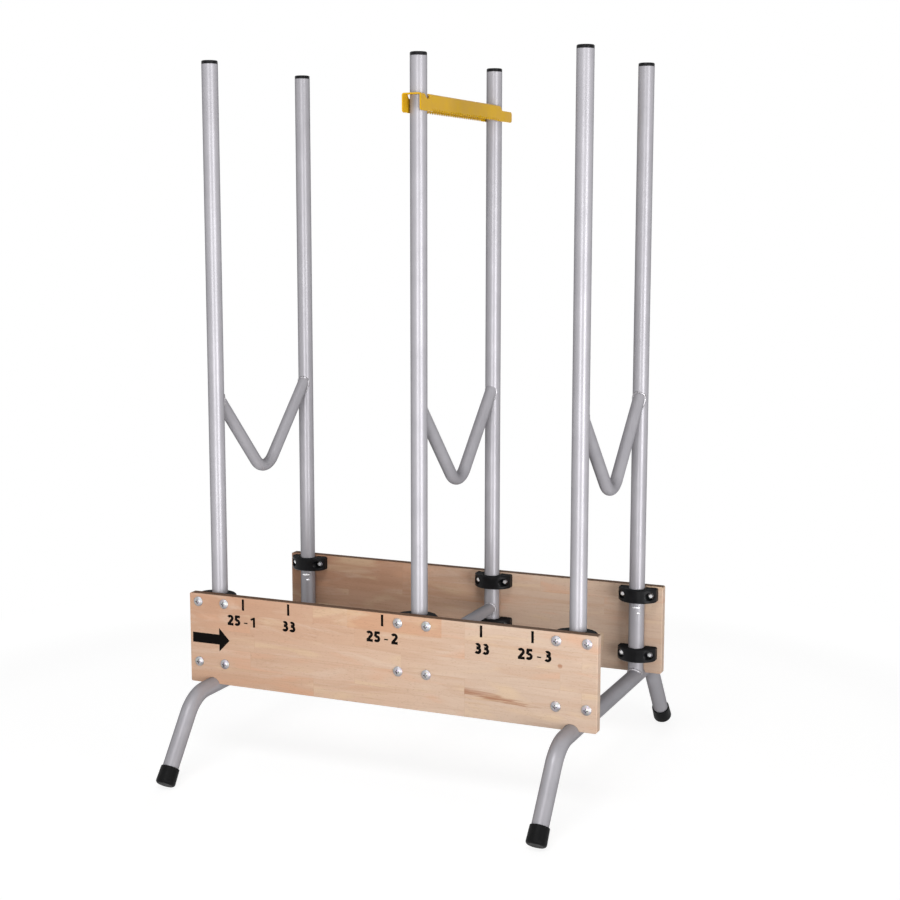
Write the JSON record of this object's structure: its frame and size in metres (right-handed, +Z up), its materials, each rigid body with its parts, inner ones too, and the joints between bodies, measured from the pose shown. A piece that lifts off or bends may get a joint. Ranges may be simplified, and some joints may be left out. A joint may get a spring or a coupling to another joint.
{
  "type": "log saw stand",
  "caption": "Free-standing stand that holds a stack of logs between tube posts while they are sawn, with V-shaped cradle bars, two boards and a sliding toothed log holder.",
  "frame": {"origin": "on the ground, under the middle of the stand's bounding box", "axes": "+Z up, +X along the boards, -Y towards the front board"},
  "size_m": [0.704, 0.6766, 1.1355],
  "materials": {
    "beech": "sanded glued beech with a clear satin finish",
    "silver_tube": "satin silver-grey coating on steel tube",
    "black_plastic": "satin moulded plastic",
    "black_rubber": "matt moulded rubber",
    "zinc": "bright zinc plating",
    "yellow_sheet": "satin yellow coating on steel sheet"
  },
  "bodies": {
    "stand": {"front_board": "beech", "front_board_bolts": "zinc", "front_board_nuts": "zinc", "rear_board": "beech", "rear_board_bolts": "zinc", "rear_board_nuts": "zinc", "left_front_post": "silver_tube", "left_front_post_plug": "black_plastic", "left_front_upper_clamp": "black_plastic", "left_front_lower_clamp": "black_plastic", "left_rear_post": "silver_tube", "left_rear_post_plug": "black_plastic", "left_rear_upper_clamp": "black_plastic", "left_rear_lower_clamp": "black_plastic", "left_cradle_bar": "silver_tube", "middle_front_post": "silver_tube", "middle_front_post_plug": "black_plastic", "middle_front_upper_clamp": "black_plastic", "middle_front_lower_clamp": "black_plastic", "middle_rear_post": "silver_tube", "middle_rear_post_plug": "black_plastic", "middle_rear_upper_clamp": "black_plastic", "middle_rear_lower_clamp": "black_plastic", "middle_cradle_bar": "silver_tube", "right_front_post": "silver_tube", "right_front_post_plug": "black_plastic", "right_front_upper_clamp": "black_plastic", "right_front_lower_clamp": "black_plastic", "right_rear_post": "silver_tube", "right_rear_post_plug": "black_plastic", "right_rear_upper_clamp": "black_plastic", "right_rear_lower_clamp": "black_plastic", "right_cradle_bar": "silver_tube", "middle_cross_tube": "silver_tube", "left_foot_tube": "silver_tube", "left_front_rubber_foot": "black_rubber", "left_rear_rubber_foot": "black_rubber", "right_foot_tube": "silver_tube", "right_front_rubber_foot": "black_rubber", "right_rear_rubber_foot": "black_rubber"},
    "holder": {"log_holder": "yellow_sheet"}
  },
  "joints": [
    {"name": "log_holder_slide", "type": "slide", "parent": "stand", "child": "holder", "axis": [0, 0, 1], "range_m": [-0.463, 0.05]}
  ]
}
